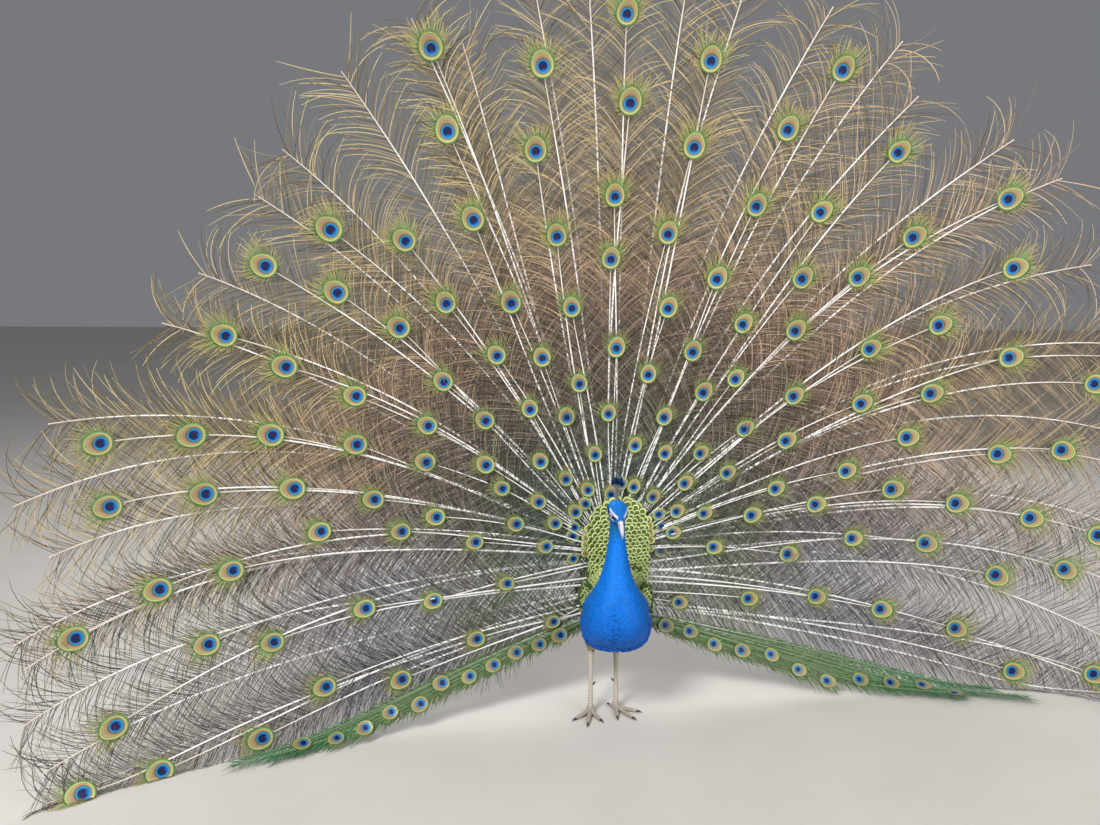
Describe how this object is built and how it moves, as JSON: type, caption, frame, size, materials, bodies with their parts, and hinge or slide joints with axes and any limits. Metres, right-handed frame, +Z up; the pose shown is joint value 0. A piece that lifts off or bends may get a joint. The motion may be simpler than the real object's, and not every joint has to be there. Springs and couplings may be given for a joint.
{
  "type": "peacock",
  "caption": "Life-size Indian peacock standing with its train raised in a full fan, blue neck and breast, crest, and eyed feathers.",
  "frame": {"origin": "middle of the whole bird seen from above, at floor level", "axes": "+Z up; the bird looks along -Y; +X is the left-hand side of the bird, and the fan spreads along X"},
  "size_m": [2.8632, 0.8886, 1.9419],
  "materials": {
    "bill_pale": "smooth horn",
    "breast_blue": "velvety feather",
    "claw_dark": "smooth horn",
    "crest_blue": "matt feather",
    "eye_dark": "wet gloss",
    "leg_horn": "scaled horn",
    "head_blue": "velvety feather",
    "mantle_gold": "glossy scale feather",
    "neck_blue": "velvety feather",
    "primary_chestnut": "matt quill feather",
    "rump_green": "glossy scale feather",
    "tail_brown": "matt quill feather",
    "thigh_buff": "soft feather",
    "edge_green": "glossy feather",
    "train_olive": "loose barbed feather",
    "belly_dark": "soft feather",
    "vent_grey": "fluffy feather",
    "wing_barred": "matt feather"
  },
  "bodies": {
    "root": {"bill_lower": "bill_pale", "bill_upper": "bill_pale", "breast": "breast_blue", "claw_left_hind": "claw_dark", "claw_left_inner": "claw_dark", "claw_left_middle": "claw_dark", "claw_left_outer": "claw_dark", "claw_right_hind": "claw_dark", "claw_right_inner": "claw_dark", "claw_right_middle": "claw_dark", "claw_right_outer": "claw_dark", "crest": "crest_blue", "eye_left": "eye_dark", "eye_right": "eye_dark", "foot_left": "leg_horn", "foot_right": "leg_horn", "head": "head_blue", "mantle": "mantle_gold", "neck_lower": "breast_blue", "neck_upper": "neck_blue", "primaries_left": "primary_chestnut", "primaries_right": "primary_chestnut", "rump": "rump_green", "tail": "tail_brown", "tarsus_left": "leg_horn", "tarsus_right": "leg_horn", "thigh_left": "thigh_buff", "thigh_right": "thigh_buff", "train_01": "edge_green", "train_02": "train_olive", "train_03": "train_olive", "train_04": "train_olive", "train_05": "train_olive", "train_06": "train_olive", "train_07": "train_olive", "train_08": "train_olive", "train_09": "train_olive", "train_10": "train_olive", "train_11": "train_olive", "train_12": "train_olive", "train_13": "train_olive", "train_14": "train_olive", "train_15": "train_olive", "train_16": "train_olive", "train_17": "train_olive", "train_18": "train_olive", "train_19": "train_olive", "train_20": "train_olive", "train_21": "train_olive", "train_22": "edge_green", "train_base": "rump_green", "trunk": "belly_dark", "vent": "vent_grey", "wing_left": "wing_barred", "wing_right": "wing_barred"}
  },
  "joints": []
}
